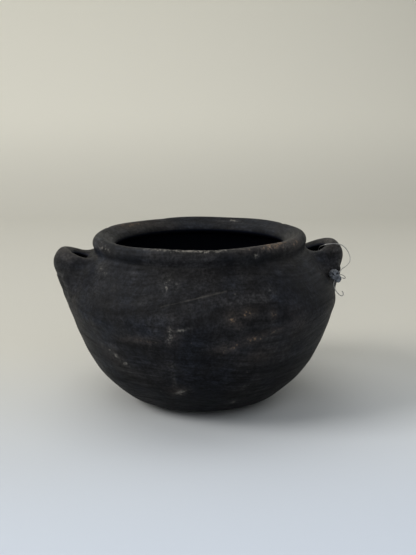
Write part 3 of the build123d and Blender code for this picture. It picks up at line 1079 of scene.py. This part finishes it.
seal_skin = seal_surface()
seal = tag_piece(
    "lead_seal_pressed",
    on_seal(seal_skin[:, :1], seal_skin[:, 1:2], seal_skin[:, 2:]),
    ring_quads(seal_rows, seal_columns, False),
    end_fans(seal_rows, seal_columns),
    "lead_seal",
)
seal.data.materials.append(soft_lead())

# Studio: a pale floor that sweeps up into a plain wall behind, a broad soft lamp on the left,
# weaker ones above, behind and in front, and the camera where the photographer stood.
sweep_depth, sweep_round, sweep_height, sweep_width = 1.30, 0.60, 3.00, 6.00
sweep_front, bend_rows, sweep_columns = [-2.5, -1.0, 0.0], 24, 9
cool_paper, warm_paper = (0.573, 0.633, 0.724, 1), (0.545, 0.534, 0.479, 1)
# The wall's paper is painted paler than the floor's, to make up for the light the wall gets less
# of.
lifted_wall_paper = (0.690, 0.675, 0.598, 1)
# Each lamp's name, place as the camera sees it, height of its aim, size, watts and colour.
lamps = [
    ("window_lamp", (-2.60, -0.90, 2.00), 0.08, 1.4, 73, (1.0, 0.98, 0.95)),
    ("ceiling_lamp", (-0.40, 0.45, 2.20), 0.05, 2.0, 16, (1.0, 0.99, 0.97)),
    ("fill_lamp", (1.20, 0.60, 0.90), 0.12, 0.8, 2.5, (1.0, 0.98, 0.96)),
    ("front_lamp", (0.10, -1.45, 1.12), 0.02, 1.2, 7.5, (0.96, 0.98, 1.0)),
]
room_colour, room_strength = (0.94, 0.97, 1.0, 1), 0.26
camera_pitch = np.radians(12.04)
camera_side, camera_back, camera_height = 0.00666, 0.8393, 0.3032
photo_height, focal_pixels, sensor = 555, 834, 36.0


def sweep_surface():
    """Floor, quarter circle and wall as one section, carried straight across."""
    bend = np.linspace(0, np.pi / 2, bend_rows)
    ahead = np.concatenate([sweep_front, sweep_depth + sweep_round * np.sin(bend)])
    ahead = np.append(ahead, sweep_depth + sweep_round)
    height = np.concatenate([np.zeros(len(sweep_front)), sweep_round * (1 - np.cos(bend))])
    height = np.append(height, sweep_height)
    side = np.linspace(-sweep_width / 2, sweep_width / 2, sweep_columns)
    side, ahead, height = np.broadcast_arrays(side, ahead[:, None], height[:, None])
    return np.stack(from_camera(side, ahead, height), axis=-1)


def pale_paper():
    """Seamless studio paper: a cool white near the camera that turns warm behind the pot, and
    a little paler where it climbs the wall, a painted lift for the weaker light that falls there."""
    material, tree, place = bare_finish("pale_paper")
    parted = node(tree, "ShaderNodeSeparateXYZ", {0: place}).outputs
    warm = blended(between(parted["Z"], 0.0, 0.28), warm_paper, lifted_wall_paper)
    colour = blended(between(parted["Y"], -0.45, 0.25), cool_paper, warm)
    shaded(tree, {"Base Color": colour, "Roughness": 0.8})
    return material


sweep_grid = sweep_surface()
sweep_index = np.arange(sweep_grid[..., 0].size).reshape(sweep_grid.shape[:2])
sweep_quads = np.stack(
    [sweep_index[:-1, :-1], sweep_index[:-1, 1:], sweep_index[1:, 1:], sweep_index[1:, :-1]],
    axis=-1,
)
sweep_mesh = bpy.data.meshes.new("studio_sweep")
sweep_mesh.from_pydata(sweep_grid.reshape(-1, 3), [], sweep_quads.reshape(-1, 4).tolist())
sweep_mesh.shade_smooth()
sweep_mesh.materials.append(pale_paper())
sweep = in_scene("studio_sweep", sweep_mesh)


def soft_lamp(name, place, aim, size, watts, colour):
    """A square area lamp at place, turned to face aim."""
    light = bpy.data.lights.new(name, "AREA")
    light.shape = "SQUARE"
    light.size = size
    light.energy = watts
    light.color = colour
    lamp = in_scene(name, light)
    lamp.location = place
    toward = Vector(aim) - Vector(place)
    lamp.rotation_mode = "QUATERNION"
    lamp.rotation_quaternion = toward.to_track_quat("-Z", "Y")


for lamp_name, lamp_place, aim_height, lamp_size, watts, lamp_colour in lamps:
    aim = (0, 0, aim_height)
    soft_lamp(lamp_name, from_camera(*lamp_place), aim, lamp_size, watts, lamp_colour)

world = bpy.data.worlds.new("soft_room")
world.use_nodes = True
room = world.node_tree.nodes["Background"].inputs
room["Color"].default_value, room["Strength"].default_value = room_colour, room_strength
bpy.context.scene.world = world

camera_data = bpy.data.cameras.new("photo_camera")
camera_data.sensor_width = sensor
camera_data.lens = focal_pixels * sensor / photo_height
camera_data.clip_start, camera_data.clip_end = 0.01, 50.0
camera = in_scene("photo_camera", camera_data)
camera.location = from_camera(camera_side, -camera_back, camera_height)
camera.rotation_euler = (np.pi / 2 - camera_pitch, 0, -photo_turn)
bpy.context.scene.camera = camera
bpy.context.scene.view_settings.view_transform = "Standard"
